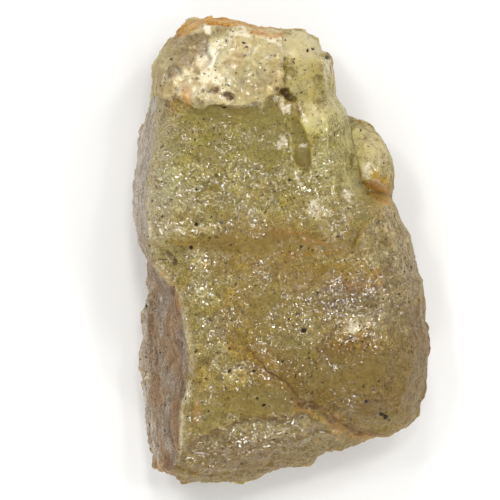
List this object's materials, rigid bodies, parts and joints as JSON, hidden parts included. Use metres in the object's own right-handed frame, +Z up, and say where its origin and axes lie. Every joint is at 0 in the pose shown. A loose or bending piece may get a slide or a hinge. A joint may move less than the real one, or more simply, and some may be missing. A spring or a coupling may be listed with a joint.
{
  "type": "rough beryl",
  "caption": "Rough lump of cloudy yellow-green beryl with a pale feldspar crust on its upper end, lying on its broken back.",
  "frame": {"origin": "under the middle of the stone, on the surface that it lies on", "axes": "+Z up, out of the stone's best face; +Y along its length, to the end with the pale crust; +X to the right, to the side with the rounded lobe"},
  "size_m": [0.0627, 0.0978, 0.0406],
  "materials": {
    "beryl": "cloudy, translucent yellow-green crystal with a glossy broken surface, a cream crust at the upper end, rusty stains and small dark specks"
  },
  "bodies": {
    "root": {"beryl": "beryl"}
  },
  "joints": []
}
